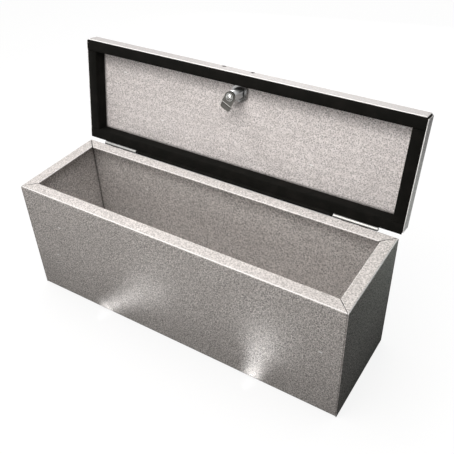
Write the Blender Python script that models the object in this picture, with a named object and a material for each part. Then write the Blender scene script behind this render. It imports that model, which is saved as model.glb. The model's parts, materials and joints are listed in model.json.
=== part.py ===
"""Folded steel drawbar box with a sealed, locking lid that stands open on two butt hinges.

Metres, +Z up. The origin is the middle of the base's underside and the front faces -Y. The lid's pieces are
modelled with the lid closed, about the hinge axis, and the empty that carries them turns them open.
"""
import math

import bmesh
import bpy
from mathutils import Matrix, Vector

# Clearance between pieces that touch, and how far a cutter reaches past what it cuts
GAP = 0.0003
CUT_MARGIN = 0.001

# Box
BOX_LENGTH = 0.600
BOX_DEPTH = 0.180
BOX_HEIGHT = 0.220
SHEET = 0.0015
FOLD_RADIUS = 0.003
EDGE_ROUNDING = 0.0005
RIM_WIDTH = 0.021
HEM_WIDTH = 0.008
HEM_OPENING = 0.0005

# Lid
LID_OVERHANG = 0.003
LID_HEIGHT = 0.024
LID_LIFT = 0.0014
LID_OPEN_ANGLE = math.radians(100)
FLANGE_HOLE_RADIUS = 0.0036
FLANGE_HOLE_SPACING = 0.052
FLANGE_HOLE_INSET = 0.018
FLANGE_HOLE_SHIFT = -0.0039

# Seal
SEAL_WIDTH = 0.018
REAR_SEAL_WIDTH = 0.0154
SEAL_CLEARANCE = 0.0004
GAP_SEAL_SHEET = 0.0014
GAP_SEAL_HEIGHT = 0.012

# Hinges
HINGE_INSET = 0.070
HINGE_LENGTH = 0.072
KNUCKLE_COUNT = 5
LEAF_SHEET = 0.0014
LEAF_MARGIN = 0.002
PIN_RADIUS = 0.0014
PIN_HEAD_MARGIN = 0.0007
PIN_HEAD_HEIGHT = 0.0008

# Rivets
RIVET_END_INSET = 0.014
RIVET_INSET = 0.007
RIVET_RADIUS = 0.002
RIVET_HEAD_RADIUS = 0.0036
RIVET_HEAD_HEIGHT = 0.0013
RIVET_TAIL_RADIUS = 0.003
RIVET_TAIL_HEIGHT = 0.0014

# Lock
LOCK_INSET = 0.0365
LOCK_HEAD_RADIUS = 0.014
LOCK_HEAD_HEIGHT = 0.0045
LOCK_HEAD_CHAMFER = 0.001
BARREL_RADIUS = 0.009
BARREL_FLATS = 0.0155
THREAD_PITCH = 0.0015
THREAD_DEPTH = 0.0005
NUT_WIDTH = 0.026
NUT_HEIGHT = 0.004
PLUG_RADIUS = 0.0055
PLUG_COLLAR = 0.0012
PLUG_COLLAR_HEIGHT = 0.002
KEYWAY_LENGTH = 0.0075
KEYWAY_WIDTH = 0.0014
KEYWAY_DEPTH = 0.012

# Cam and what holds it on
CAM_WIDTH = 0.018
CAM_REACH = 0.0245
CAM_SHEET = 0.0025
CAM_BEND = 0.0133
CAM_CRANK = 0.0025
CAM_TIP_RADIUS = 0.003
CAM_RIM_CLEARANCE = 0.0005
CAM_TURN = math.radians(25)
DRIVE_SQUARE = 0.0068
WASHER_RADIUS = 0.0066
WASHER_HEIGHT = 0.0008
SCREW_RADIUS = 0.0023
SCREW_LENGTH = 0.009
SCREW_HEAD_RADIUS = 0.0052
SCREW_HEAD_HEIGHT = 0.0026
SCREW_SLOT_WIDTH = 0.0011
SCREW_SLOT_DEPTH = 0.0012

# Facets
FOLD_STEPS = 3
EDGE_STEPS = 2
CURL_STEPS = 14
DOME_STEPS = 4
ROUND_SMALL = 16
ROUND_LARGE = 24
SMOOTH_ANGLE = math.radians(35)
EDGE_ANGLE = math.radians(60)
MERGE_DISTANCE = 1e-7

# Sizes that follow from those above; heights on the lid are measured from the hinge axis, with the lid closed
HEM_THICKNESS = 2 * SHEET + HEM_OPENING
WRAP_LENGTH = BOX_LENGTH - 2 * (SHEET + GAP)
LID_LENGTH = BOX_LENGTH + 2 * LID_OVERHANG
LID_DEPTH = BOX_DEPTH
LID_TOP = LID_LIFT + LID_HEIGHT
LID_CEILING = LID_TOP - SHEET
KNUCKLE_BORE = PIN_RADIUS + GAP
KNUCKLE_RADIUS = KNUCKLE_BORE + LEAF_SHEET
HINGE_OFFSET = GAP + KNUCKLE_RADIUS
HINGE_SPACING = BOX_LENGTH - 2 * HINGE_INSET
HINGE_AXIS = Vector((0, BOX_DEPTH / 2 + HINGE_OFFSET, BOX_HEIGHT))
LEAF_HEIGHT = LID_TOP - FOLD_RADIUS - LEAF_MARGIN
RIVET_SPACING = HINGE_LENGTH - 2 * RIVET_END_INSET
RIVET_HEIGHT = LEAF_HEIGHT - RIVET_INSET
RIVET_SEAT = LEAF_SHEET + GAP - KNUCKLE_RADIUS
RIVET_GRIP = LEAF_SHEET + SHEET + 3 * GAP
LID_REAR = -HINGE_OFFSET
LID_FRONT = LID_REAR - LID_DEPTH
LID_MIDDLE = (LID_REAR + LID_FRONT) / 2
SEAL_ROUNDING = FOLD_RADIUS - SHEET
LOCK_PLACE = Vector((0, LID_FRONT + LOCK_INSET, 0))
LOCK_SEAT = LID_TOP + GAP
LOCK_FACE = LOCK_SEAT + LOCK_HEAD_HEIGHT
CAM_TOP = -(HEM_THICKNESS + CAM_RIM_CLEARANCE + CAM_CRANK)
CAM_FACE = CAM_TOP - CAM_SHEET
BARREL_END = CAM_TOP + GAP
WASHER_TOP = CAM_FACE - GAP
SCREW_SEAT = WASHER_TOP - WASHER_HEIGHT - GAP
ALONG_Y = Matrix.Rotation(-math.pi / 2, 4, "X")


def clear_scene():
    """Remove every object that the file opens with."""
    for item in list(bpy.data.objects):
        bpy.data.objects.remove(item, do_unlink=True)


def finish_material(name, colour, roughness, metallic):
    """A Principled material of one colour, roughness and metallic value."""
    material = bpy.data.materials.new(name)
    material.use_nodes = True
    shader = material.node_tree.nodes["Principled BSDF"]
    shader.inputs["Base Color"].default_value = (*colour, 1)
    shader.inputs["Roughness"].default_value = roughness
    shader.inputs["Metallic"].default_value = metallic
    material.diffuse_color = (*colour, 1)
    return material


def galvanised(name):
    """Spangled zinc coating of the folded sheets."""
    return finish_material(name, (0.56, 0.55, 0.54), 0.45, 0.8)


def zinc_plate(name):
    """Bright zinc plating of the hinges and rivets."""
    return finish_material(name, (0.70, 0.70, 0.68), 0.35, 0.9)


def chrome(name):
    """Polished plating of the lock."""
    return finish_material(name, (0.80, 0.80, 0.80), 0.15, 1.0)


def black_foam(name):
    """Closed-cell sealing foam."""
    return finish_material(name, (0.020, 0.020, 0.018), 0.9, 0.0)


def add_empty(name, location, turn, parent=None):
    """An empty on a joint's axis, which carries the pieces that move about it."""
    empty = bpy.data.objects.new(name, None)
    empty.location = location
    empty.rotation_euler = turn
    empty.parent = parent
    bpy.context.collection.objects.link(empty)
    return empty


def add_object(name, bm, material=None, parent=None, location=(0, 0, 0), turn=(0, 0, 0)):
    """Turn a bmesh into a named object, shaded smooth over its rounded faces."""
    bmesh.ops.remove_doubles(bm, verts=bm.verts, dist=MERGE_DISTANCE)
    mesh = bpy.data.meshes.new(name)
    bm.to_mesh(mesh)
    bm.free()
    mesh.shade_smooth()
    mesh.set_sharp_from_angle(angle=SMOOTH_ANGLE)
    if material:
        mesh.materials.append(material(name + "_finish"))
    item = bpy.data.objects.new(name, mesh)
    item.parent = parent
    item.location = location
    item.rotation_euler = turn
    bpy.context.collection.objects.link(item)
    return item


def thicken(item, thickness):
    """Give a sheet surface its thickness, on the side away from its normals."""
    solidify = item.modifiers.new("sheet", "SOLIDIFY")
    solidify.thickness = thickness
    solidify.offset = -1
    solidify.use_even_offset = True


def soften(item):
    """Round off the cut edges of a sheet, but not its folds."""
    bevel = item.modifiers.new("cut_edges", "BEVEL")
    bevel.width = EDGE_ROUNDING
    bevel.segments = EDGE_STEPS
    bevel.limit_method = "ANGLE"
    bevel.angle_limit = EDGE_ANGLE
    bevel.use_clamp_overlap = False


def combine(item, tool, operation):
    """Cut a hidden tool object out of an item, or join it on."""
    boolean = item.modifiers.new(tool.name, "BOOLEAN")
    boolean.operation = operation
    boolean.solver = "EXACT"
    boolean.object = tool
    tool.hide_render = True
    tool.display_type = "WIRE"


def rounded_path(corners, steps=FOLD_STEPS):
    """Points of a path through (a, b, radius) corners, each rounded by an arc of its radius."""
    points = []
    for index, (a, b, radius) in enumerate(corners):
        corner = Vector((a, b))
        if radius == 0:
            points.append(corner)
            continue
        before = (Vector(corners[index - 1][:2]) - corner).normalized()
        after = (Vector(corners[(index + 1) % len(corners)][:2]) - corner).normalized()
        half_angle = before.angle(after) / 2
        centre = corner + (before + after).normalized() * radius / math.sin(half_angle)
        spoke = corner + before * radius / math.tan(half_angle) - centre
        turn = math.copysign(math.pi - 2 * half_angle, after.cross(before))
        for step in range(steps + 1):
            points.append(centre + Matrix.Rotation(turn * step / steps, 2) @ spoke)
    return [point for index, point in enumerate(points)
            if (point - points[index - 1]).length > MERGE_DISTANCE]


def add_strip(bm, rows):
    """Add a strip of faces through rows, each row given by its two end points."""
    pairs = [[bm.verts.new(point) for point in row] for row in rows]
    for (near_left, near_right), (far_left, far_right) in zip(pairs, pairs[1:]):
        bm.faces.new((near_left, far_left, far_right, near_right))


def turned(profile, segments):
    """A solid turned about Z from a profile of (radius, height) points, closed where it leaves the axis."""
    bm = bmesh.new()
    verts = [bm.verts.new((radius, 0, height)) for radius, height in profile]
    pairs = list(zip(verts, verts[1:]))
    if profile[0][0] > 0 and profile[-1][0] > 0:
        pairs.append((verts[-1], verts[0]))
    edges = [bm.edges.new(pair) for pair in pairs]
    bmesh.ops.spin(bm, geom=verts + edges, axis=(0, 0, 1), cent=(0, 0, 0), angle=2 * math.pi, steps=segments)
    bmesh.ops.remove_doubles(bm, verts=bm.verts, dist=MERGE_DISTANCE)
    bmesh.ops.recalc_face_normals(bm, faces=bm.faces)
    return bm


def repeated(pattern, places):
    """Copies of one solid at several places, as separate bodies of one mesh."""
    group = bmesh.new()
    for place in places:
        mesh = bpy.data.meshes.new("copy")
        pattern.to_mesh(mesh)
        mesh.transform(place)
        group.from_mesh(mesh)
        bpy.data.meshes.remove(mesh)
    pattern.free()
    return group


def block(low, high):
    """A rectangular block between two corners."""
    bm = bmesh.new()
    low = Vector(low)
    size = Vector(high) - low
    middle = low + size / 2
    bmesh.ops.create_cube(bm, size=1, matrix=Matrix.LocRotScale(middle, None, size))
    return bm


def round_bar(radius, length, segments=ROUND_SMALL):
    """A plain round bar along Z, centred on the origin."""
    half = length / 2
    return turned([(0, half), (radius, half), (radius, -half), (0, -half)], segments)


def rim_corners(outside):
    """Corners of a hemmed rim, from the hem's end up round its nose and out to the wall's face."""
    lip = outside - RIM_WIDTH
    under = BOX_HEIGHT - HEM_THICKNESS
    nose = HEM_THICKNESS / 2
    return [(lip + HEM_WIDTH, under, 0), (lip, under, nose), (lip, BOX_HEIGHT, nose),
            (outside, BOX_HEIGHT, FOLD_RADIUS)]


def rivet_places(height, depth=RIVET_SEAT):
    """Where the rivets of both hinges sit at one height, measured from the hinge axis."""
    places = []
    for hinge in (-HINGE_SPACING / 2, HINGE_SPACING / 2):
        for offset in (-RIVET_SPACING / 2, RIVET_SPACING / 2):
            places.append(Matrix.Translation((hinge + offset, depth, height)) @ ALONG_Y)
    return places


def rivet_hole_cutter(name, height, parent):
    """Round cutter through a hinge leaf and the sheet it is riveted to, at every rivet."""
    bar = round_bar(RIVET_RADIUS + GAP, 2 * (RIVET_GRIP + CUT_MARGIN))
    return add_object(name, repeated(bar, rivet_places(height)), parent=parent)


def body_wrap(rivet_holes):
    """Front wall, floor and rear wall folded from one sheet, with a hemmed rim along both tops."""
    half = BOX_DEPTH / 2
    rear = rim_corners(half) + [(half, 0, FOLD_RADIUS)]
    front = [(-y, z, radius) for y, z, radius in rear]
    rows = []
    for y, z in rounded_path(front + rear[::-1]):
        mitre = half - abs(y) if z > BOX_HEIGHT / 2 else 0
        end = WRAP_LENGTH / 2 - mitre
        rows.append(((-end, y, z), (end, y, z)))
    bm = bmesh.new()
    add_strip(bm, rows)
    item = add_object("body_wrap", bm, galvanised)
    thicken(item, SHEET)
    soften(item)
    combine(item, rivet_holes, "DIFFERENCE")


def end_panel(name, turn):
    """End plate over the wrap's edges, with a hemmed rim mitred to the wrap's rims."""
    half = BOX_LENGTH / 2
    rows = []
    for x, z in rounded_path(rim_corners(half) + [(half, 0, 0)]):
        end = BOX_DEPTH / 2 - (half - x)
        rows.append(((x, -end, z), (x, end, z)))
    bm = bmesh.new()
    add_strip(bm, rows)
    item = add_object(name, bm, galvanised, turn=(0, 0, turn))
    thicken(item, SHEET)
    soften(item)


def double_flat(bm, radius, flats, below):
    """Press two flats onto a round bar, on its sides along X, below a height."""
    for vert in bm.verts:
        outer = vert.co.xy.length < radius + MERGE_DISTANCE
        if outer and vert.co.z < below + MERGE_DISTANCE:
            vert.co.x = max(-flats / 2, min(flats / 2, vert.co.x))


def lock_hole_cutter(parent):
    """Cutter for the lock's hole in the lid, with the barrel's two flats."""
    radius = BARREL_RADIUS + GAP
    bar = round_bar(radius, 2 * (SHEET + CUT_MARGIN), ROUND_LARGE)
    double_flat(bar, radius, BARREL_FLATS + 2 * GAP, SHEET + CUT_MARGIN)
    return add_object("lock_hole", bar, parent=parent, location=LOCK_PLACE + Vector((0, 0, LID_TOP)))


def flange_hole_cutter(parent):
    """Cutter for the two round holes in the lid's front flange, a little to the left of the lock."""
    height = LID_LIFT + FLANGE_HOLE_INSET
    centres = [FLANGE_HOLE_SHIFT + side * FLANGE_HOLE_SPACING / 2 for side in (-1, 1)]
    places = [Matrix.Translation((x, LID_FRONT, height)) @ ALONG_Y for x in centres]
    bar = round_bar(FLANGE_HOLE_RADIUS, 2 * (SHEET + CUT_MARGIN))
    return add_object("flange_holes", repeated(bar, places), parent=parent)


def lid_pan(parent, rivet_holes):
    """Shallow tray folded from one sheet: the top and four flanges that leave open corner notches."""
    half_length = LID_LENGTH / 2
    half_depth = LID_DEPTH / 2
    flange = rounded_path([(-LID_HEIGHT, LID_TOP, 0), (0, LID_TOP, FOLD_RADIUS), (0, LID_LIFT, 0)])[1:]
    centre = Matrix.Translation((0, LID_MIDDLE, 0))
    bm = bmesh.new()
    for quarter in range(4):
        reach, along = (half_length, half_depth) if quarter % 2 == 0 else (half_depth, half_length)
        along -= FOLD_RADIUS
        place = centre @ Matrix.Rotation(quarter * math.pi / 2, 4, "Z")
        add_strip(bm, [(place @ Vector((reach + out, -along, z)), place @ Vector((reach + out, along, z)))
                       for out, z in flange])
    top_x = half_length - FOLD_RADIUS
    top_y = half_depth - FOLD_RADIUS
    top = [(-top_x, -top_y), (top_x, -top_y), (top_x, top_y), (-top_x, top_y)]
    bm.faces.new([bm.verts.new(centre @ Vector((x, y, LID_TOP))) for x, y in top])
    item = add_object("lid_pan", bm, galvanised, parent)
    thicken(item, SHEET)
    soften(item)
    combine(item, lock_hole_cutter(parent), "DIFFERENCE")
    combine(item, flange_hole_cutter(parent), "DIFFERENCE")
    combine(item, rivet_holes, "DIFFERENCE")


def seal_strip(name, low, high, parent):
    """A foam strip between two plan corners, as deep as the lid, its edges rounded to clear the folds."""
    bm = block((*low, SEAL_CLEARANCE), (*high, LID_CEILING - GAP))
    bmesh.ops.bevel(bm, geom=bm.edges, offset=SEAL_ROUNDING, segments=2, profile=0.5, affect="EDGES")
    return add_object(name, bm, black_foam, parent)


def seal_strips(parent):
    """Four foam strips round the inside of the lid, the end strips set between the long ones."""
    side = LID_LENGTH / 2 - SHEET - GAP
    front = LID_FRONT + SHEET + GAP
    rear = LID_REAR - SHEET - GAP
    inner_front = front + SEAL_WIDTH
    inner_rear = rear - REAR_SEAL_WIDTH
    inner_side = side - SEAL_WIDTH
    seal_strip("seal_front", (-side, front), (side, inner_front), parent)
    seal_strip("seal_left", (-side, inner_front + GAP), (-inner_side, inner_rear - GAP), parent)
    seal_strip("seal_right", (inner_side, inner_front + GAP), (side, inner_rear - GAP), parent)
    rear_strip = seal_strip("seal_rear", (-side, inner_rear), (side, rear), parent)
    pocket = round_bar(RIVET_TAIL_RADIUS + GAP, 2 * (RIVET_TAIL_HEIGHT + GAP))
    pockets = repeated(pocket, rivet_places(RIVET_HEIGHT, rear))
    combine(rear_strip, add_object("rivet_pockets", pockets, parent=parent), "DIFFERENCE")


def gap_seal(parent):
    """Rubber strip that fills the gap between the hinges: a bulb on their axis and a tail up the flange."""
    inside = -KNUCKLE_RADIUS
    outside = inside + GAP_SEAL_SHEET
    section = [(inside, GAP_SEAL_HEIGHT), (outside, GAP_SEAL_HEIGHT)]
    start = math.acos(outside / KNUCKLE_RADIUS)
    for step in range(CURL_STEPS + 1):
        angle = start - (start + math.pi) * step / CURL_STEPS
        section.append((KNUCKLE_RADIUS * math.cos(angle), KNUCKLE_RADIUS * math.sin(angle)))
    half = (HINGE_SPACING - HINGE_LENGTH) / 2 - PIN_HEAD_HEIGHT - 2 * GAP
    bm = bmesh.new()
    end = bm.faces.new([bm.verts.new((-half, y, z)) for y, z in section])
    extruded = bmesh.ops.extrude_face_region(bm, geom=[end])["geom"]
    far_end = [element for element in extruded if isinstance(element, bmesh.types.BMVert)]
    bmesh.ops.translate(bm, vec=(2 * half, 0, 0), verts=far_end)
    bmesh.ops.recalc_face_normals(bm, faces=bm.faces)
    add_object("hinge_gap_seal", bm, black_foam, parent)


def hinge_leaf(name, knuckles, rivet_holes, parent=None, location=(0, 0, 0), turn=(0, 0, 0)):
    """A hinge leaf that hangs from the pin, with its own knuckles curled round it."""
    start = -HINGE_LENGTH / 2
    pitch = HINGE_LENGTH / KNUCKLE_COUNT
    breaks = [start]
    for joint in range(1, KNUCKLE_COUNT):
        breaks += [start + joint * pitch - GAP / 2, start + joint * pitch + GAP / 2]
    breaks.append(-start)
    plate = [(-KNUCKLE_RADIUS, -KNUCKLE_RADIUS - GAP), (-KNUCKLE_RADIUS, -LEAF_HEIGHT)]
    curl_end = -math.acos((GAP - KNUCKLE_BORE) / KNUCKLE_RADIUS)
    curl = []
    for step in range(CURL_STEPS + 1):
        angle = curl_end + (math.pi - curl_end) * step / CURL_STEPS
        curl.append((KNUCKLE_RADIUS * math.cos(angle), KNUCKLE_RADIUS * math.sin(angle)))
    bm = bmesh.new()
    for index, (left, right) in enumerate(zip(breaks, breaks[1:])):
        knuckle, between = divmod(index, 2)
        curled = knuckle in knuckles and not between
        section = curl + plate if curled else plate
        add_strip(bm, [((left, y, z), (right, y, z)) for y, z in section])
    item = add_object(name, bm, zinc_plate, parent, location, turn)
    thicken(item, LEAF_SHEET)
    combine(item, rivet_holes, "DIFFERENCE")


def hinge_pin(name, location):
    """A hinge pin along X with a peened head at each end."""
    half = HINGE_LENGTH / 2 + GAP
    head = PIN_RADIUS + PIN_HEAD_MARGIN
    end = half + PIN_HEAD_HEIGHT
    upper = [(0, end), (PIN_RADIUS, end), (head, end - PIN_HEAD_HEIGHT / 2), (head, half), (PIN_RADIUS, half)]
    lower = [(radius, -height) for radius, height in reversed(upper)]
    bm = turned(upper + lower, ROUND_SMALL)
    add_object(name, bm, zinc_plate, location=location, turn=(0, math.pi / 2, 0))


def rivets(owner, height, parent):
    """Dome-headed rivets through a pair of hinge leaves, with set tails inside."""
    head = []
    for step in range(DOME_STEPS):
        angle = math.pi / 2 * step / DOME_STEPS
        head.append((RIVET_HEAD_RADIUS * math.sin(angle), RIVET_HEAD_HEIGHT * math.cos(angle)))
    head.append((RIVET_HEAD_RADIUS, 0))
    shank = [(RIVET_RADIUS, 0), (RIVET_RADIUS, -RIVET_GRIP), (RIVET_TAIL_RADIUS, -RIVET_GRIP)]
    tail_end = -RIVET_GRIP - RIVET_TAIL_HEIGHT
    tail = [(RIVET_RADIUS, tail_end), (0, tail_end)]
    for number, place in enumerate(rivet_places(height), start=1):
        bm = turned(head + shank + tail, ROUND_SMALL)
        bmesh.ops.transform(bm, matrix=place, verts=bm.verts)
        add_object(f"{owner}_hinge_rivet_{number}", bm, zinc_plate, parent)


def lock_body(parent):
    """Lock case: a round head outside the lid and a threaded barrel with two flats inside it."""
    bore = PLUG_RADIUS + GAP
    collar_bore = bore + PLUG_COLLAR
    collar_seat = LOCK_FACE - PLUG_COLLAR_HEIGHT - 2 * GAP
    outside = [(collar_bore, LOCK_FACE), (LOCK_HEAD_RADIUS - LOCK_HEAD_CHAMFER, LOCK_FACE),
               (LOCK_HEAD_RADIUS, LOCK_FACE - LOCK_HEAD_CHAMFER), (LOCK_HEAD_RADIUS, LOCK_SEAT),
               (BARREL_RADIUS, LOCK_SEAT)]
    root = BARREL_RADIUS - THREAD_DEPTH
    thread = []
    for turn in range(int((LID_CEILING - BARREL_END) / THREAD_PITCH)):
        crest_height = LID_CEILING - turn * THREAD_PITCH
        thread += [(BARREL_RADIUS, crest_height), (root, crest_height - THREAD_PITCH / 2)]
    inside = [(root, BARREL_END), (bore, BARREL_END), (bore, collar_seat), (collar_bore, collar_seat)]
    bm = turned(outside + thread + inside, ROUND_LARGE)
    double_flat(bm, BARREL_RADIUS, BARREL_FLATS, LOCK_SEAT)
    add_object("lock_body", bm, chrome, parent, LOCK_PLACE)


def lock_nut(parent):
    """Hexagonal nut that clamps the lock to the lid."""
    top = LID_CEILING - GAP
    bottom = top - NUT_HEIGHT
    bore = BARREL_RADIUS + GAP
    outside = NUT_WIDTH / 2
    bm = turned([(bore, top), (outside, top), (outside, bottom), (bore, bottom)], ROUND_LARGE)
    sector = math.pi / 3
    for vert in bm.verts:
        angle = math.atan2(vert.co.y, vert.co.x)
        if vert.co.xy.length > bore + MERGE_DISTANCE:
            stretch = 1 / math.cos((angle + sector / 2) % sector - sector / 2)
            vert.co.xy *= stretch
    add_object("lock_nut", bm, chrome, parent, LOCK_PLACE)


def lock_plug(parent):
    """Keyed plug in the barrel, with a collar in the head and a square end that drives the cam."""
    face = LOCK_FACE - GAP
    collar = PLUG_RADIUS + PLUG_COLLAR
    collar_end = face - PLUG_COLLAR_HEIGHT
    bm = turned([(0, face), (collar, face), (collar, collar_end), (PLUG_RADIUS, collar_end),
                 (PLUG_RADIUS, BARREL_END), (0, BARREL_END)], ROUND_LARGE)
    item = add_object("lock_plug", bm, chrome, parent)
    half = DRIVE_SQUARE / 2
    square = block((-half, -half, CAM_FACE + GAP), (half, half, BARREL_END + CUT_MARGIN))
    combine(item, add_object("drive_square", square, parent=parent), "UNION")
    hole = round_bar(SCREW_RADIUS + GAP, 2 * (SCREW_LENGTH + GAP))
    combine(item, add_object("screw_hole", hole, parent=parent, location=(0, 0, SCREW_SEAT)), "DIFFERENCE")
    keyway = block((-KEYWAY_LENGTH / 2, -KEYWAY_WIDTH / 2, face - KEYWAY_DEPTH),
                   (KEYWAY_LENGTH / 2, KEYWAY_WIDTH / 2, face + CUT_MARGIN))
    combine(item, add_object("keyway", keyway, parent=parent), "DIFFERENCE")


def lock_cam(parent):
    """Cam plate on the plug's square end, its tip cranked up to catch under the box's rim."""
    half = CAM_WIDTH / 2
    outline = rounded_path([(half, -half, half), (half, CAM_REACH, CAM_TIP_RADIUS),
                            (-half, CAM_REACH, CAM_TIP_RADIUS), (-half, -half, half)], 2 * FOLD_STEPS)
    bm = bmesh.new()
    bm.faces.new([bm.verts.new((x, y, CAM_TOP)) for x, y in outline])
    for bend in (CAM_BEND, CAM_BEND + CAM_CRANK):
        everything = bm.verts[:] + bm.edges[:] + bm.faces[:]
        bmesh.ops.bisect_plane(bm, geom=everything, plane_co=(0, bend, 0), plane_no=(0, 1, 0))
    for vert in bm.verts:
        vert.co.z += max(0, min(CAM_CRANK, vert.co.y - CAM_BEND))
    item = add_object("lock_cam", bm, chrome, parent)
    thicken(item, CAM_SHEET)
    reach = DRIVE_SQUARE / 2 + GAP
    square = block((-reach, -reach, CAM_FACE - CUT_MARGIN), (reach, reach, CAM_TOP + CUT_MARGIN))
    combine(item, add_object("cam_square", square, parent=parent), "DIFFERENCE")


def cam_washer(parent):
    """Flat washer between the cam and its screw."""
    bore = SCREW_RADIUS + GAP
    bottom = WASHER_TOP - WASHER_HEIGHT
    bm = turned([(bore, WASHER_TOP), (WASHER_RADIUS, WASHER_TOP), (WASHER_RADIUS, bottom), (bore, bottom)],
                ROUND_LARGE)
    add_object("cam_washer", bm, chrome, parent)


def cam_screw(parent):
    """Slotted dome-headed screw that holds the cam on the plug."""
    tip = SCREW_SEAT + SCREW_LENGTH
    dome = []
    for step in range(DOME_STEPS):
        angle = math.pi / 2 * step / DOME_STEPS
        dome.append((SCREW_HEAD_RADIUS * math.cos(angle), SCREW_SEAT - SCREW_HEAD_HEIGHT * math.sin(angle)))
    crown = SCREW_SEAT - SCREW_HEAD_HEIGHT
    bm = turned([(0, tip), (SCREW_RADIUS, tip), (SCREW_RADIUS, SCREW_SEAT)] + dome + [(0, crown)], ROUND_SMALL)
    item = add_object("cam_screw", bm, chrome, parent)
    slot = block((-SCREW_HEAD_RADIUS - CUT_MARGIN, -SCREW_SLOT_WIDTH / 2, crown - CUT_MARGIN),
                 (SCREW_HEAD_RADIUS + CUT_MARGIN, SCREW_SLOT_WIDTH / 2, crown + SCREW_SLOT_DEPTH))
    combine(item, add_object("screw_slot", slot, parent=parent), "DIFFERENCE")


def hinges(box_holes, lid_holes, lid_axis):
    """Two butt hinges: three knuckles of each on the lid, the two between them on the box."""
    lid_knuckles = range(0, KNUCKLE_COUNT, 2)
    box_knuckles = range(1, KNUCKLE_COUNT, 2)
    for side, x in (("left", -HINGE_SPACING / 2), ("right", HINGE_SPACING / 2)):
        place = Vector((x, 0, 0))
        hinge_leaf(side + "_box_hinge_leaf", box_knuckles, box_holes, location=HINGE_AXIS + place)
        hinge_leaf(side + "_lid_hinge_leaf", lid_knuckles, lid_holes, lid_axis, place, (0, math.pi, 0))
        hinge_pin(side + "_hinge_pin", HINGE_AXIS + place)


def main():
    """Build the box, then the lid on its hinge axis, then the lock's turning pieces on the lock's axis."""
    clear_scene()
    box_axis = add_empty("box_hinge_axis", HINGE_AXIS, (0, 0, 0))
    lid_axis = add_empty("lid_hinge_axis", HINGE_AXIS, (-LID_OPEN_ANGLE, 0, 0))
    lock_axis = add_empty("lock_axis", LOCK_PLACE, (0, 0, CAM_TURN), lid_axis)
    box_holes = rivet_hole_cutter("box_rivet_holes", -RIVET_HEIGHT, box_axis)
    lid_holes = rivet_hole_cutter("lid_rivet_holes", RIVET_HEIGHT, lid_axis)
    body_wrap(box_holes)
    end_panel("right_end_panel", 0)
    end_panel("left_end_panel", math.pi)
    lid_pan(lid_axis, lid_holes)
    seal_strips(lid_axis)
    hinges(box_holes, lid_holes, lid_axis)
    gap_seal(lid_axis)
    rivets("box", -RIVET_HEIGHT, box_axis)
    rivets("lid", RIVET_HEIGHT, lid_axis)
    lock_body(lid_axis)
    lock_nut(lid_axis)
    lock_plug(lock_axis)
    lock_cam(lock_axis)
    cam_washer(lock_axis)
    cam_screw(lock_axis)


main()
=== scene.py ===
"""Studio picture of the open drawbar box: its finishes, foam seal, camera, floor and light."""
import json
import math

import bmesh
import bpy
from mathutils import Matrix, Vector, noise


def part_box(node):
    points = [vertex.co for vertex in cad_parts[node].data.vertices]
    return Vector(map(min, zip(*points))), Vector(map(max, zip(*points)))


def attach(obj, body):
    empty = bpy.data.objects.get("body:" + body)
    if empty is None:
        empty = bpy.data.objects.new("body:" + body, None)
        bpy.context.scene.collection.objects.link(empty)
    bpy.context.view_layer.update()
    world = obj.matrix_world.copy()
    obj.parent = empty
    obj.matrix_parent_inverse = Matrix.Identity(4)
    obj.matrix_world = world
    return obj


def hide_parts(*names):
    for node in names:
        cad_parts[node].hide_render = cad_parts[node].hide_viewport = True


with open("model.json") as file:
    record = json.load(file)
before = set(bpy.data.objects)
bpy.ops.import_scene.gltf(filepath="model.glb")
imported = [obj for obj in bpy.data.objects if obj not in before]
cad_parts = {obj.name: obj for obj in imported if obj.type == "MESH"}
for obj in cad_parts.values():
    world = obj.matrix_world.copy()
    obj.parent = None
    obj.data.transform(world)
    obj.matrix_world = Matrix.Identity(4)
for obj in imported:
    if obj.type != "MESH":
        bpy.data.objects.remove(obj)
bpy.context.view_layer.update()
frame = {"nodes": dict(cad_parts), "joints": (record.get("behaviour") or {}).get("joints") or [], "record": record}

UP = (0, 0, 1)
REARWARD = (0, 1, 0)

# Camera: where it stands, how it is turned and what its lens takes in
CAMERA_PLACE = (0.49065, -0.65333, 0.81464)
CAMERA_AZIMUTH = math.radians(34.652)
CAMERA_ELEVATION = math.radians(38.7705)
CAMERA_ROLL = math.radians(-3.0375)
CAMERA_LENS = 50.528
CAMERA_SENSOR = 36
CAMERA_SHIFT = (0.020855, 0.025904)

# Floor and surroundings
FLOOR_RADIUS = 8
FLOOR_SEGMENTS = 64
FLOOR_DROP = 0.0006
FLOOR_COLOUR = (0.08, 0.08, 0.08, 1)
FLOOR_GLOW = 0.97
SHADOW_REACH = 0.45
SHADOW_DEPTH = 0.18
SKY_COLOUR = (1, 1, 1, 1)
SKY_STRENGTH = 1.0
AMBIENT_COLOUR = (0.97, 0.98, 1, 1)
AMBIENT_STRENGTH = 0.02

# Lamps: name, place, the point each looks at, its two sides, its power in watts and its colour
WARM = (1, 0.96, 0.925)
PLAIN = (1, 0.985, 0.975)
COOL = (0.88, 1, 0.92)
LAMPS = (
    ("over_box", (0.05, -0.32, 1.05), (0, 0.10, 0.30), (0.80, 0.35), 5.8, WARM),
    ("over_front", (0.05, -0.50, 0.85), (0, 0.10, 0.30), (0.50, 0.20), 1.0, WARM),
    ("front", (-0.20, -1.60, 0.80), (0, 0.05, 0.25), (1.00, 0.50), 6.6, WARM),
    ("overhead", (-0.60, 0.10, 1.50), (0, 0, 0.20), (0.60, 0.60), 9.2, PLAIN),
    ("right", (0.45, 0.13, 0.28), (0.30, 0.02, 0.15), (0.12, 0.12), 0.06, COOL),
    ("left", (-1.20, 0.00, 0.12), (-0.30, 0, 0.11), (0.50, 0.20), 3.8, PLAIN),
    ("behind", (-0.35, 1.40, 0.35), (0, 0.10, 0.20), (0.80, 0.50), 5.5, PLAIN),
)

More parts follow.
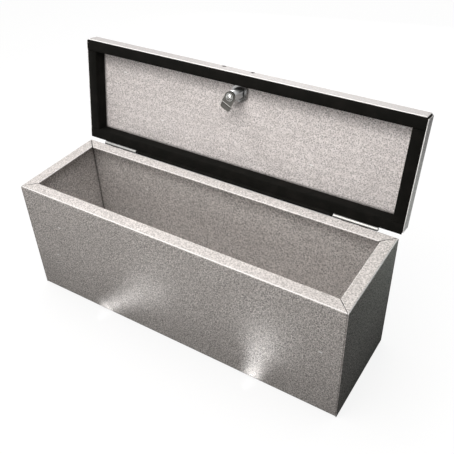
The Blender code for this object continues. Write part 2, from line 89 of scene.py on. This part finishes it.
# Rows of small lamps close to the front wall: name, and where along the wall the foot and the head stand
STREAKS = (
    ("left_streak", -0.147, -0.010),
    ("right_streak", 0.154, 0.182),
)
STREAK_LAMPS = 7
STREAK_LOW = 0.006
STREAK_HIGH = 0.130
STREAK_NEAR = 0.026
STREAK_FAR = 0.100
STREAK_SIDE = 0.014
STREAK_POWER = 0.0028
STREAK_FADE = 0.59
STREAK_SPREAD = math.radians(90)

# Patterns of the zinc coating: size in metres, the span of the pattern that counts, and its share
SPANGLE_SIZE = 0.0026
SPANGLE_SCATTER = 0.75
BORDER_SPAN = (0.18, 0.62)
BORDER_SHARE = 0.65
FLECK_SIZE = 0.0014
FLECK_SPAN = (0.35, 0.65)
FLECK_SHARE = 0.35
GRAIN_SIZE = 0.0006
CLOUD_SIZE = 0.07
CLOUD_SPAN = (0.3, 0.7)
CLOUD_SHARE = 0.14
CLOUD_TONE = (0.36, 0.347, 0.338, 1)
TINT_SIZE = 0.03
TINT_SPAN = (0.35, 0.65)
TINT_SHARE = 0.14
TINT_TONE = (0.60, 0.565, 0.55, 1)
PATTERN_DETAIL = 2.0

# Nicks: spacing, the two directions they are laid out in, size as a share of the spacing,
# the draw that lets one show, and how squarely its face looks to the front or the rear
NICK_SPACING = 0.05
NICK_ALONG = (0.35, 3.0, 0.6)
NICK_ACROSS = (-0.3, 0.0, 0.9)
NICK_SIZE = (0.024, 0.038)
NICK_DRAW = (0.84, 0.86)
NICK_FACING = (0.90, 0.95)

# Painted shade in seams, corners and near the ground: how far each looks round, the span of open sky that counts,
# and its share
OPEN_SAMPLES = 6
PAINTED_SHADE_COLOUR = (0.05, 0.048, 0.045, 1)
CREVICE_SHADE_SPAN = (0.45, 0.95)
CREVICE_SHADE_SHARE = 0.85
CREVICE_SHADE_REACH = 0.005
HINGE_SHADE_REACH = 0.006
GROOVE_SHADE_REACH = 0.003
# Painted shade on upright faces in deep corners and near the ground
SHELTER_SHADE_SPAN = (0.4, 1.0)
SHELTER_SHADE_REACH = 0.12

# Sheet of the body and the lid: dark and light tone, and the tone and share of faces that look up (painted light:
# a flatter tone where bright light washes the crystals out)
LEVEL_FACE = (0.90, 0.97)
# Painted highlight: folds between faces that look up and the walls are whitened as if they caught the light
FOLD_HIGHLIGHT_CURVE = ((0.28, 0), (0.42, 0.85), (0.88, 0.85), (0.97, 0))
# White of the nicks, and of the painted highlights on the folds and the lid's cut edge
NICK_AND_HIGHLIGHT_WHITE = (1, 1, 1, 1)
# Width of the painted highlight along the lid's cut edge
EDGE_HIGHLIGHT_WIDTH = 0.0012
SHEET_METALLIC = 0.03
SHEET_ROUGHNESS = (0.36, 0.58)
BODY_TONES = ((0.14, 0.135, 0.13, 1), (0.96, 0.922, 0.902, 1))
BODY_LIT_TOP = ((0.632, 0.607, 0.593, 1), 0.35)
BODY_GLOSS = 0.0
# Share of painted shade on the body's upright faces in deep corners and near the ground
BODY_SHELTER_SHADE = 0.25
# Painted light: the lid's sheet has lighter tones than the body's, standing in for the brighter light that falls
# on the lid
LID_LIT_TONES = ((0.33, 0.312, 0.308, 1), (1.0, 0.958, 0.957, 1))
LID_LIT_TOP = ((0.47, 0.46, 0.455, 1), 0.70)
LID_GLOSS = 0.22

# Plating of the hinges and the lock: dark and light tone, and roughness
HINGE_CLOUD_SIZE = 0.006
HINGE_TONES = ((0.36, 0.36, 0.35, 1), (0.48, 0.48, 0.47, 1))
HINGE_ROUGHNESS = (0.42, 0.56)
MARK_SIZE = 0.004
MARK_ROUGHNESS = 0.14
LOCK_TONES = ((0.42, 0.43, 0.44, 1), (0.60, 0.60, 0.60, 1))
LOCK_ROUGHNESS = 0.28
NUT_TONES = ((0.34, 0.34, 0.34, 1), (0.50, 0.50, 0.49, 1))
NUT_ROUGHNESS = 0.20
CAM_TONES = ((0.11, 0.105, 0.095, 1), (0.17, 0.165, 0.150, 1))
SCREW_TONES = ((0.40, 0.40, 0.39, 1), (0.62, 0.62, 0.60, 1))
POLISHED = 0.12
CAM_TIP_SHARE = 0.98
CAM_BEND = 0.0133
# Painted highlight along the cam's bend: its width and its tone
CAM_BEND_HIGHLIGHT_WIDTH = 0.0007
PAINTED_BEND_HIGHLIGHT = (0.62, 0.61, 0.58, 1)

# Fine bumps: strength and depth
SHEET_BUMP = (0.15, 0.0002)
HINGE_BUMP = (0.1, 0.0001)
LOCK_BUMP = (0.08, 0.0001)
FOAM_BUMP = (0.5, 0.0003)

# Finish of the foam
FOAM_CELL = 0.0007
PORE_SPAN = (0.0, 0.6)
FOAM_TONES = ((0.003, 0.003, 0.003, 1), (0.008, 0.008, 0.007, 1))
FOAM_ROUGHNESS = (0.95, 0.8)
FOAM_GLOSS = 0.04
DUST_SIZE = 0.02
DUST_SPAN = (0.45, 0.8)
DUST_TONE = (0.012, 0.011, 0.010, 1)

# Form of the foam strips
FOAM_CROWN = 0.0004
FOAM_WAVE = 0.00015
FOAM_WAVE_LENGTH = 0.03
FOAM_ROUNDING = 0.0016
FOAM_STEP = 0.008
FOAM_LEAST_STEPS = 2
FOAM_NOTCH = 0.0020
FOAM_NOTCH_REACH = 0.0045
NOTCH_FLOOR_SHARE = 0.8
NOTCH_SIDE_SHARE = 0.9
FOAM_LIP = 0.0018
FOAM_LIP_HEIGHT = 0.0007
ARC_STEPS = 3
FACE_STEPS = 4
SHARP_ANGLE = math.radians(50)

# Dark strip between the hinges, modelled as rubber; it stands in for the shade seen through the gap
GAP_STRIP_TAIL = 0.0014
GAP_STRIP_STEP = 0.012
GAP_STRIP_ARC = 20


def set_inputs(tree, node, inputs):
    """Link inputs of a node from other nodes' outputs, or set them to values."""
    for name, value in inputs.items():
        if isinstance(value, bpy.types.NodeSocket):
            tree.links.new(value, node.inputs[name])
        else:
            node.inputs[name].default_value = value


def add_node(tree, kind, inputs=None, **settings):
    """A node with its settings and its inputs."""
    node = tree.nodes.new(kind)
    for name, value in settings.items():
        setattr(node, name, value)
    set_inputs(tree, node, inputs or {})
    return node


def new_finish(name):
    """An empty Principled material, its node tree, its shader and the coordinates of its object."""
    material = bpy.data.materials.new(name)
    material.use_nodes = True
    tree = material.node_tree
    place = add_node(tree, "ShaderNodeTexCoord").outputs["Object"]
    return material, tree, tree.nodes["Principled BSDF"], place


def computed(tree, operation, *levels):
    """The result of a calculation with one or two levels."""
    node = add_node(tree, "ShaderNodeMath", dict(enumerate(levels)), operation=operation)
    return node.outputs["Value"]


def scaled(tree, level, low, high, from_low=0.0, from_high=1.0):
    """A level moved from one range to another."""
    inputs = {"Value": level, "From Min": from_low, "From Max": from_high, "To Min": low, "To Max": high}
    return add_node(tree, "ShaderNodeMapRange", inputs).outputs["Result"]


def ramp(tree, level, *stops):
    """A level taken through a curve of straight pieces, given as pairs of place and value."""
    node = add_node(tree, "ShaderNodeValToRGB", {"Fac": level})
    elements = node.color_ramp.elements
    while len(elements) < len(stops):
        elements.new(0.5)
    for element, (place, value) in zip(elements, stops):
        element.position = place
        element.color = (value, value, value, 1)
    return node.outputs["Color"]


def blended(tree, level, first, second):
    """A colour between two, each a constant or another node's output."""
    node = add_node(tree, "ShaderNodeMix", {0: level}, data_type="RGBA")
    colours = [socket for socket in node.inputs if socket.type == "RGBA"]
    for socket, colour in zip(colours, (first, second)):
        if isinstance(colour, bpy.types.NodeSocket):
            tree.links.new(colour, socket)
        else:
            socket.default_value = colour
    return [socket for socket in node.outputs if socket.type == "RGBA"][0]


def bumped(tree, height, strength, depth):
    """A normal that follows a height pattern."""
    inputs = {"Height": height, "Strength": strength, "Distance": depth}
    return add_node(tree, "ShaderNodeBump", inputs).outputs["Normal"]


def cloud(tree, place, size):
    """A soft random level that changes over about one size."""
    inputs = {"Vector": place, "Scale": 1 / size, "Detail": PATTERN_DETAIL}
    return add_node(tree, "ShaderNodeTexNoise", inputs).outputs["Fac"]


def drawn_level(tree, cells):
    """A random level for each cell of a pattern."""
    return add_node(tree, "ShaderNodeSeparateColor", {"Color": cells.outputs["Color"]}).outputs["Red"]


def reach_along(tree, place, direction):
    """How far a place lies along a direction."""
    node = add_node(tree, "ShaderNodeVectorMath", {0: place, 1: direction}, operation="DOT_PRODUCT")
    return node.outputs["Value"]


def facing(tree, direction):
    """How far the surface faces a direction at rest."""
    normal = add_node(tree, "ShaderNodeTexCoord").outputs["Normal"]
    return reach_along(tree, normal, direction)


def near_plane(tree, place, plane, width):
    """1 on a plane and 0 further off than a width; a plane is a direction and a distance along it."""
    direction, distance = plane
    offset = computed(tree, "SUBTRACT", reach_along(tree, place, direction), distance)
    return scaled(tree, computed(tree, "ABSOLUTE", offset), 1.0, 0.0, width / 2, width)


def open_sky(tree, reach):
    """1 where nothing stands near a surface, lower in seams and corners."""
    node = add_node(tree, "ShaderNodeAmbientOcclusion", {"Distance": reach}, samples=OPEN_SAMPLES)
    return node.outputs["AO"]


def painted_crevice_shade(tree, reach):
    """Painted shade: high deep in a seam or an inside corner, 0 on open sheet."""
    return scaled(tree, open_sky(tree, reach), CREVICE_SHADE_SHARE, 0.0, *CREVICE_SHADE_SPAN)


def painted_shelter_shade(tree, share):
    """Painted shade: high on upright faces in deep corners and near the ground, 0 in the open."""
    level = scaled(tree, open_sky(tree, SHELTER_SHADE_REACH), share, 0.0, *SHELTER_SHADE_SPAN)
    upright = scaled(tree, facing(tree, UP), 1.0, 0.0, *LEVEL_FACE)
    return computed(tree, "MULTIPLY", level, upright)


def nicks(tree, place):
    """1 on a few small slanted nicks in the long walls and the lid, 0 elsewhere."""
    layout = {"X": reach_along(tree, place, NICK_ALONG), "Y": reach_along(tree, place, NICK_ACROSS)}
    spread = add_node(tree, "ShaderNodeCombineXYZ", layout).outputs["Vector"]
    cells = add_node(tree, "ShaderNodeTexVoronoi", {"Vector": spread, "Scale": 1 / NICK_SPACING},
                     voronoi_dimensions="2D")
    spots = scaled(tree, cells.outputs["Distance"], 1.0, 0.0, *NICK_SIZE)
    chosen = scaled(tree, drawn_level(tree, cells), 0.0, 1.0, *NICK_DRAW)
    lengthwise = computed(tree, "ABSOLUTE", facing(tree, REARWARD))
    on_walls = scaled(tree, lengthwise, 0.0, 1.0, *NICK_FACING)
    return computed(tree, "MULTIPLY", computed(tree, "MULTIPLY", spots, chosen), on_walls)


def spangled(tree, place):
    """Level of the zinc's crystals: dark hearts, light borders, and finer flecks over both."""
    layout = {"Vector": place, "Scale": 1 / SPANGLE_SIZE, "Randomness": SPANGLE_SCATTER}
    crystals = add_node(tree, "ShaderNodeTexVoronoi", layout)
    borders = scaled(tree, crystals.outputs["Distance"], 0.0, BORDER_SHARE, *BORDER_SPAN)
    cells = add_node(tree, "ShaderNodeTexVoronoi", {"Vector": place, "Scale": 1 / FLECK_SIZE})
    flecks = scaled(tree, drawn_level(tree, cells), 0.0, FLECK_SHARE, *FLECK_SPAN)
    return computed(tree, "ADD", borders, flecks)


def coated(tree, place, spangle, tones, top):
    """Colour of clean zinc: its crystals, a painted flatter tone on faces that look up where bright light washes
    the crystals out, and two slow clouds.
    """
    lit_top_tone, lit_top_share = top
    # Painted light: faces that look up get a flatter tone, as bright light washes the crystals out
    painted_top_level = scaled(tree, facing(tree, UP), 0.0, lit_top_share, *LEVEL_FACE)
    crystals = blended(tree, painted_top_level, blended(tree, spangle, *tones), lit_top_tone)
    clouds = scaled(tree, cloud(tree, place, CLOUD_SIZE), 0.0, CLOUD_SHARE, *CLOUD_SPAN)
    clouded = blended(tree, clouds, crystals, CLOUD_TONE)
    tint = scaled(tree, cloud(tree, place, TINT_SIZE), 0.0, TINT_SHARE, *TINT_SPAN)
    return blended(tree, tint, clouded, TINT_TONE)


def galvanised(name, tones, top, gloss, edge=None, shelter_shade=0.0):
    """Zinc-coated sheet with a painted highlight on its folds, a few nicks and painted shade in its seams.

    The sheet's cut edge in one plane may carry a painted highlight, and upright faces in deep corners and near the
    ground may get painted shade by a share.
    """
    material, tree, shader, place = new_finish(name)
    spangle = spangled(tree, place)
    colour = coated(tree, place, spangle, tones, top)
    # Painted highlight on the folds
    colour = blended(tree, ramp(tree, facing(tree, UP), *FOLD_HIGHLIGHT_CURVE), colour, NICK_AND_HIGHLIGHT_WHITE)
    # Painted highlight along the cut edge of the lid's flanges
    if edge:
        colour = blended(tree, near_plane(tree, place, edge, EDGE_HIGHLIGHT_WIDTH), colour, NICK_AND_HIGHLIGHT_WHITE)
    colour = blended(tree, nicks(tree, place), colour, NICK_AND_HIGHLIGHT_WHITE)
    # Painted shade on upright faces in deep corners and near the ground
    if shelter_shade:
        colour = blended(tree, painted_shelter_shade(tree, shelter_shade), colour, PAINTED_SHADE_COLOUR)
    set_inputs(tree, shader, {
        # Painted shade in seams and inside corners
        "Base Color": blended(tree, painted_crevice_shade(tree, CREVICE_SHADE_REACH), colour, PAINTED_SHADE_COLOUR),
        "Metallic": SHEET_METALLIC,
        "Specular IOR Level": gloss,
        "Roughness": scaled(tree, spangle, *SHEET_ROUGHNESS),
        "Normal": bumped(tree, cloud(tree, place, GRAIN_SIZE), *SHEET_BUMP),
    })
    return material


def zinc_plated(name):
    """Bright zinc plating of hinges and rivets, with a fine grain and painted shade in the hinges' gaps."""
    material, tree, shader, place = new_finish(name)
    grain = cloud(tree, place, GRAIN_SIZE)
    colour = blended(tree, cloud(tree, place, HINGE_CLOUD_SIZE), *HINGE_TONES)
    set_inputs(tree, shader, {
        # Painted shade in the hinges' gaps
        "Base Color": blended(tree, painted_crevice_shade(tree, HINGE_SHADE_REACH), colour, PAINTED_SHADE_COLOUR),
        "Metallic": 1.0,
        "Roughness": scaled(tree, grain, *HINGE_ROUGHNESS),
        "Normal": bumped(tree, grain, *HINGE_BUMP),
    })
    return material


def plated(name, tones, roughness=POLISHED, bend=None):
    """Polished plating of the lock, with faint handling marks, painted shade in its grooves and, on the cam, a
    painted highlight along the bend.
    """
    material, tree, shader, place = new_finish(name)
    marks = cloud(tree, place, MARK_SIZE)
    colour = blended(tree, marks, *tones)
    # Painted highlight along the cam's bend
    if bend:
        colour = blended(tree, near_plane(tree, place, bend, CAM_BEND_HIGHLIGHT_WIDTH), colour, PAINTED_BEND_HIGHLIGHT)
    set_inputs(tree, shader, {
        # Painted shade in the lock's grooves
        "Base Color": blended(tree, painted_crevice_shade(tree, GROOVE_SHADE_REACH), colour, PAINTED_SHADE_COLOUR),
        "Metallic": 1.0,
        "Roughness": scaled(tree, marks, roughness, roughness + MARK_ROUGHNESS),
        "Normal": bumped(tree, cloud(tree, place, GRAIN_SIZE), *LOCK_BUMP),
    })
    return material


def foamed(name):
    """Black closed-cell foam rubber: fine open pores on a matt face with a little dust."""
    material, tree, shader, place = new_finish(name)
    cells = add_node(tree, "ShaderNodeTexVoronoi", {"Vector": place, "Scale": 1 / FOAM_CELL})
    pores = scaled(tree, cells.outputs["Distance"], 0.0, 1.0, *PORE_SPAN)
    dust = scaled(tree, cloud(tree, place, DUST_SIZE), 0.0, 1.0, *DUST_SPAN)
    set_inputs(tree, shader, {
        "Base Color": blended(tree, dust, blended(tree, pores, *FOAM_TONES), DUST_TONE),
        "Roughness": scaled(tree, pores, *FOAM_ROUGHNESS),
        "Specular IOR Level": FOAM_GLOSS,
        "Normal": bumped(tree, pores, *FOAM_BUMP),
    })
    return material


def joint_named(name):
    """One of the frame's joints."""
    return next(joint for joint in frame["joints"] if joint["name"] == name)


def lid_opening():
    """The turn that takes the closed lid to where it stands at rest."""
    hinge = joint_named("lid_hinge")
    pivot = Matrix.Translation(hinge["pos_m"])
    closed_angle = math.radians(hinge["range_deg"][0])
    return pivot @ Matrix.Rotation(-closed_angle, 4, Vector(hinge["axis"])) @ pivot.inverted()


def closed_box(node, opening):
    """Lowest and highest corner of a piece of the lid, with the lid closed."""
    closing = opening.inverted()
    points = [closing @ vertex.co for vertex in frame["nodes"][node].data.vertices]
    low = Vector(min(point[axis] for point in points) for axis in range(3))
    high = Vector(max(point[axis] for point in points) for axis in range(3))
    return low, high


def lid_edge():
    """The plane that the cut edges of the lid's flanges lie in."""
    opening = lid_opening()
    low = closed_box("lid_pan", opening)[0]
    direction = opening.to_3x3() @ Vector(UP)
    return direction, direction.dot(opening @ Vector((0, 0, low.z)))


def cam_bend():
    """The plane across the cam at its bend: the direction to the cam's tip and the distance along it."""
    turn = joint_named("lock_turn")
    pivot = Vector(turn["pos_m"])
    axis = Vector(turn["axis"]).normalized()
    reaches = []
    for vertex in frame["nodes"]["lock_cam"].data.vertices:
        reach = vertex.co - pivot
        reaches.append(reach - axis * reach.dot(axis))
    longest = max(reach.length for reach in reaches)
    ends = [reach for reach in reaches if reach.length > CAM_TIP_SHARE * longest]
    tip = sum(ends, Vector()).normalized()
    return tip, tip.dot(pivot) + CAM_BEND


def dress(finish, *nodes):
    """Give one finish to several pieces of the frame."""
    for node in nodes:
        slots = frame["nodes"][node].data.materials
        slots.clear()
        slots.append(finish)


def nodes_of_slot(slot):
    """The names of the frame's pieces that take one material slot."""
    return [part["node"] for part in frame["record"]["subparts"] if part["material_slot"] == slot]


def dress_frame():
    """Give every rigid piece of the frame its finish."""
    body = galvanised("body_sheet", BODY_TONES, BODY_LIT_TOP, BODY_GLOSS, shelter_shade=BODY_SHELTER_SHADE)
    lid = galvanised("lid_sheet", LID_LIT_TONES, LID_LIT_TOP, LID_GLOSS, edge=lid_edge())
    dress(body, "body_wrap", "left_end_panel", "right_end_panel")
    dress(lid, "lid_pan")
    dress(zinc_plated("hinge_zinc"), *nodes_of_slot("zinc_plate"))
    dress(plated("lock_plating", LOCK_TONES, LOCK_ROUGHNESS), "lock_body", "lock_plug")
    dress(plated("nut_plating", NUT_TONES, NUT_ROUGHNESS), "lock_nut")
    dress(plated("cam_plating", CAM_TONES, bend=cam_bend()), "lock_cam")
    dress(plated("screw_plating", SCREW_TONES), "cam_washer", "cam_screw")


def arc_points(across, up, radius, angles):
    """Points round a centre, one for each angle."""
    return [(across + radius * math.cos(angle), up + radius * math.sin(angle)) for angle in angles]


def lofted(name, rings, finish):
    """A closed strip through rings of points, with a flat face at each end."""
    bm = bmesh.new()
    loops = [[bm.verts.new(point) for point in ring] for ring in rings]
    for near, far in zip(loops, loops[1:]):
        for index in range(len(near)):
            bm.faces.new((near[index - 1], near[index], far[index], far[index - 1]))
    bm.faces.new(loops[0])
    bm.faces.new(loops[-1])
    bmesh.ops.recalc_face_normals(bm, faces=bm.faces)
    mesh = bpy.data.meshes.new(name)
    bm.to_mesh(mesh)
    bm.free()
    mesh.shade_smooth()
    mesh.set_sharp_from_angle(angle=SHARP_ANGLE)
    mesh.materials.append(finish)
    strip = bpy.data.objects.new(name, mesh)
    bpy.context.collection.objects.link(strip)
    return strip


def crowned_face(flat, face):
    """Points across the foam's lower face, which stands out most in its middle."""
    shares = [2 * step / FACE_STEPS - 1 for step in range(1, FACE_STEPS)]
    return [(share * flat, face + FOAM_CROWN * share * share) for share in shares]


def foam_section(width, height, wave, lip):
    """Outline of the foam, from its glued top round to its crowned face and its lip, from its middle."""
    half = width / 2 - abs(wave)
    top = height / 2
    face = -height / 2 + abs(wave)
    shoulder = face + FOAM_CROWN
    corners = ((half, top, 0), (-half, top, 90), (-half, shoulder, 180), (half, shoulder, 270))
    points = []
    for across, up, start in corners:
        centre_across = across - math.copysign(FOAM_ROUNDING, across)
        centre_up = up - math.copysign(FOAM_ROUNDING, up)
        angles = [math.radians(start + 90 * step / ARC_STEPS) for step in range(ARC_STEPS + 1)]
        points += arc_points(centre_across, centre_up, FOAM_ROUNDING, angles)
        if start == 180:
            points += crowned_face(half - FOAM_ROUNDING, face)
        if start == 180 and lip:
            edge = width / 2 + lip
            lip_top = face + FOAM_LIP_HEIGHT
            points += [(edge, face + FOAM_CROWN / 2), (edge, lip_top), (half, lip_top)]
    return points


def foam_stations(start, length, notches):
    """Places along a strip where its outline is drawn: at even steps, and at both sides of each notch."""
    count = max(FOAM_LEAST_STEPS, round(length / FOAM_STEP))
    stations = {start + length * step / count for step in range(count + 1)}
    for place in notches:
        for reach in (FOAM_NOTCH_REACH, FOAM_NOTCH_REACH * NOTCH_FLOOR_SHARE):
            stations |= {place - reach, place + reach}
    return sorted(stations)


def foam_strip(node, finish, opening, notches=(), lip=0):
    """A foam strip in the place of one of the frame's plain strips, with notches behind for rivet tails.

    A lip reaches out under the edge of the lid's flange.
    """
    low, high = closed_box(node, opening)
    size = high - low
    middle = (low + high) / 2
    along = 0 if size.x > size.y else 1
    across = 1 - along
    half = size[across] / 2
    rings = []
    for station in foam_stations(low[along], size[along], notches):
        wave = FOAM_WAVE * noise.noise((station / FOAM_WAVE_LENGTH, low[across], 0))
        notched = any(abs(station - place) < FOAM_NOTCH_REACH * NOTCH_SIDE_SHARE for place in notches)
        ring = []
        for out, up in foam_section(size[across], size.z, wave, lip):
            if notched and out <= half:
                out = min(out, half - FOAM_NOTCH)
            point = Vector((0, 0, middle.z + up))
            point[along] = station
            point[across] = middle[across] + out
            ring.append(opening @ point)
        rings.append(ring)
    strip = lofted("foam_" + node, rings, finish)
    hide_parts(node)
    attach(strip, "lid")


def shade_gap_strip(finish, opening):
    """A dark strip between the hinges that stands in for the shade seen through the gap: a bulb on their axis and
    a tail up the lid's flange.
    """
    low, high = closed_box("hinge_gap_seal", opening)
    radius = (high.y - low.y) / 2
    axis = Vector((0, low.y + radius, low.z + radius))
    tail = low.y + GAP_STRIP_TAIL / 2
    tip = high.z - GAP_STRIP_TAIL / 2
    join = math.acos(GAP_STRIP_TAIL / radius - 1)
    bulb_angles = [join - (join + math.pi) * part / GAP_STRIP_ARC for part in range(GAP_STRIP_ARC + 1)]
    tip_angles = [math.pi * (1 - part / ARC_STEPS) for part in range(ARC_STEPS + 1)]
    count = round((high.x - low.x) / GAP_STRIP_STEP)
    rings = []
    for step in range(count + 1):
        station = low.x + (high.x - low.x) * step / count
        slack = FOAM_WAVE * abs(noise.noise((station / FOAM_WAVE_LENGTH, 0, 0)))
        outline = arc_points(axis.y, axis.z, radius - slack, bulb_angles)
        outline += arc_points(tail, tip, GAP_STRIP_TAIL / 2 - slack, tip_angles)
        rings.append([opening @ Vector((station, across, up)) for across, up in outline])
    strip = lofted("shade_strip_hinge_gap_seal", rings, finish)
    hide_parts("hinge_gap_seal")
    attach(strip, "lid")


def foam_seal():
    """The four foam strips round the inside of the lid, and the dark strip between the hinges that stands in for
    the shade seen through the gap.
    """
    opening = lid_opening()
    finish = foamed("seal_foam")
    # Dark strip that stands in for the shade seen through the gap between the hinges
    shade_gap_strip(finish, opening)
    rivets = [name for name in frame["nodes"] if name.startswith("lid_hinge_rivet")]
    tails = [sum(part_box(name), Vector()).x / 2 for name in rivets]
    for node in ("seal_front", "seal_left", "seal_right"):
        foam_strip(node, finish, opening)
    foam_strip("seal_rear", finish, opening, tails, FOAM_LIP)


def seen_directly(tree):
    """1 for rays that show the surroundings: from the camera, in gloss and through glass; 0 for the rest."""
    rays = add_node(tree, "ShaderNodeLightPath").outputs
    first = computed(tree, "MAXIMUM", rays["Is Camera Ray"], rays["Is Glossy Ray"])
    return computed(tree, "MAXIMUM", first, rays["Is Transmission Ray"])


def surroundings():
    """A white backdrop all round, and a weak even light on the object."""
    world = bpy.data.worlds.new("surroundings")
    bpy.context.scene.world = world
    world.use_nodes = True
    tree = world.node_tree
    tree.nodes.remove(tree.nodes["Background"])
    backdrop = add_node(tree, "ShaderNodeBackground", {"Color": SKY_COLOUR, "Strength": SKY_STRENGTH})
    ambient = add_node(tree, "ShaderNodeBackground", {"Color": AMBIENT_COLOUR, "Strength": AMBIENT_STRENGTH})
    parts = {0: seen_directly(tree), 1: ambient.outputs["Background"], 2: backdrop.outputs["Background"]}
    mix = add_node(tree, "ShaderNodeMixShader", parts)
    tree.links.new(mix.outputs["Shader"], tree.nodes["World Output"].inputs["Surface"])


def floor_white():
    """A finish that shows white and keeps a soft shadow of what stands on it."""
    material = bpy.data.materials.new("floor_white")
    material.use_nodes = True
    tree = material.node_tree
    tree.nodes.remove(tree.nodes["Principled BSDF"])
    matt = add_node(tree, "ShaderNodeBsdfDiffuse", {"Color": FLOOR_COLOUR})
    shadow = add_node(tree, "ShaderNodeAmbientOcclusion", {"Distance": SHADOW_REACH}).outputs["AO"]
    level = scaled(tree, shadow, FLOOR_GLOW * (1 - SHADOW_DEPTH), FLOOR_GLOW)
    strength = computed(tree, "MULTIPLY", level, seen_directly(tree))
    glow = add_node(tree, "ShaderNodeEmission", {"Strength": strength})
    total = add_node(tree, "ShaderNodeAddShader", {0: matt.outputs["BSDF"], 1: glow.outputs["Emission"]})
    tree.links.new(total.outputs["Shader"], tree.nodes["Material Output"].inputs["Surface"])
    return material


def floor():
    """A wide round floor just under the box."""
    bm = bmesh.new()
    bmesh.ops.create_circle(bm, cap_ends=True, segments=FLOOR_SEGMENTS, radius=FLOOR_RADIUS,
                            matrix=Matrix.Translation((0, 0, -FLOOR_DROP)))
    mesh = bpy.data.meshes.new("floor")
    bm.to_mesh(mesh)
    bm.free()
    mesh.materials.append(floor_white())
    item = bpy.data.objects.new("floor", mesh)
    bpy.context.collection.objects.link(item)


def hang(light, place, turn):
    """Put a lamp in its place, out of the camera's sight."""
    item = bpy.data.objects.new(light.name, light)
    item.location = place
    item.rotation_euler = turn
    item.visible_camera = False
    bpy.context.collection.objects.link(item)


def lamp(name, place, target, sides, power, colour):
    """A soft rectangular lamp that looks at a point."""
    light = bpy.data.lights.new(name, "AREA")
    light.shape = "RECTANGLE"
    light.size, light.size_y = sides
    light.energy = power
    light.color = colour
    sight = Vector(target) - Vector(place)
    hang(light, place, sight.to_track_quat("-Z", "Y").to_euler())


def streak(name, foot, head):
    """A row of small lamps up the front wall, each further off and fainter, that leaves a bright streak."""
    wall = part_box("body_wrap")[0].y
    for step in range(STREAK_LAMPS):
        share = step / (STREAK_LAMPS - 1)
        distance = STREAK_NEAR + (STREAK_FAR - STREAK_NEAR) * share * share
        height = STREAK_LOW + (STREAK_HIGH - STREAK_LOW) * share
        light = bpy.data.lights.new(f"{name}_{step + 1}", "AREA")
        light.shape = "DISK"
        light.size = STREAK_SIDE
        light.spread = STREAK_SPREAD
        light.energy = STREAK_POWER * STREAK_FADE ** step * (distance / STREAK_NEAR) ** 2
        hang(light, (foot + (head - foot) * share, wall - distance, height), (math.pi / 2, 0, 0))


def camera():
    """The camera at the photograph's angle."""
    view = bpy.data.cameras.new("camera")
    view.lens = CAMERA_LENS
    view.sensor_width = CAMERA_SENSOR
    view.shift_x, view.shift_y = CAMERA_SHIFT
    item = bpy.data.objects.new("camera", view)
    turn = (Matrix.Rotation(CAMERA_AZIMUTH, 4, "Z")
            @ Matrix.Rotation(math.pi / 2 - CAMERA_ELEVATION, 4, "X")
            @ Matrix.Rotation(CAMERA_ROLL, 4, "Z"))
    item.matrix_world = Matrix.Translation(CAMERA_PLACE) @ turn
    bpy.context.collection.objects.link(item)
    bpy.context.scene.camera = item


bpy.context.scene.view_settings.view_transform = "Standard"
dress_frame()
foam_seal()
surroundings()
floor()
for settings in LAMPS:
    lamp(*settings)
for settings in STREAKS:
    streak(*settings)
camera()
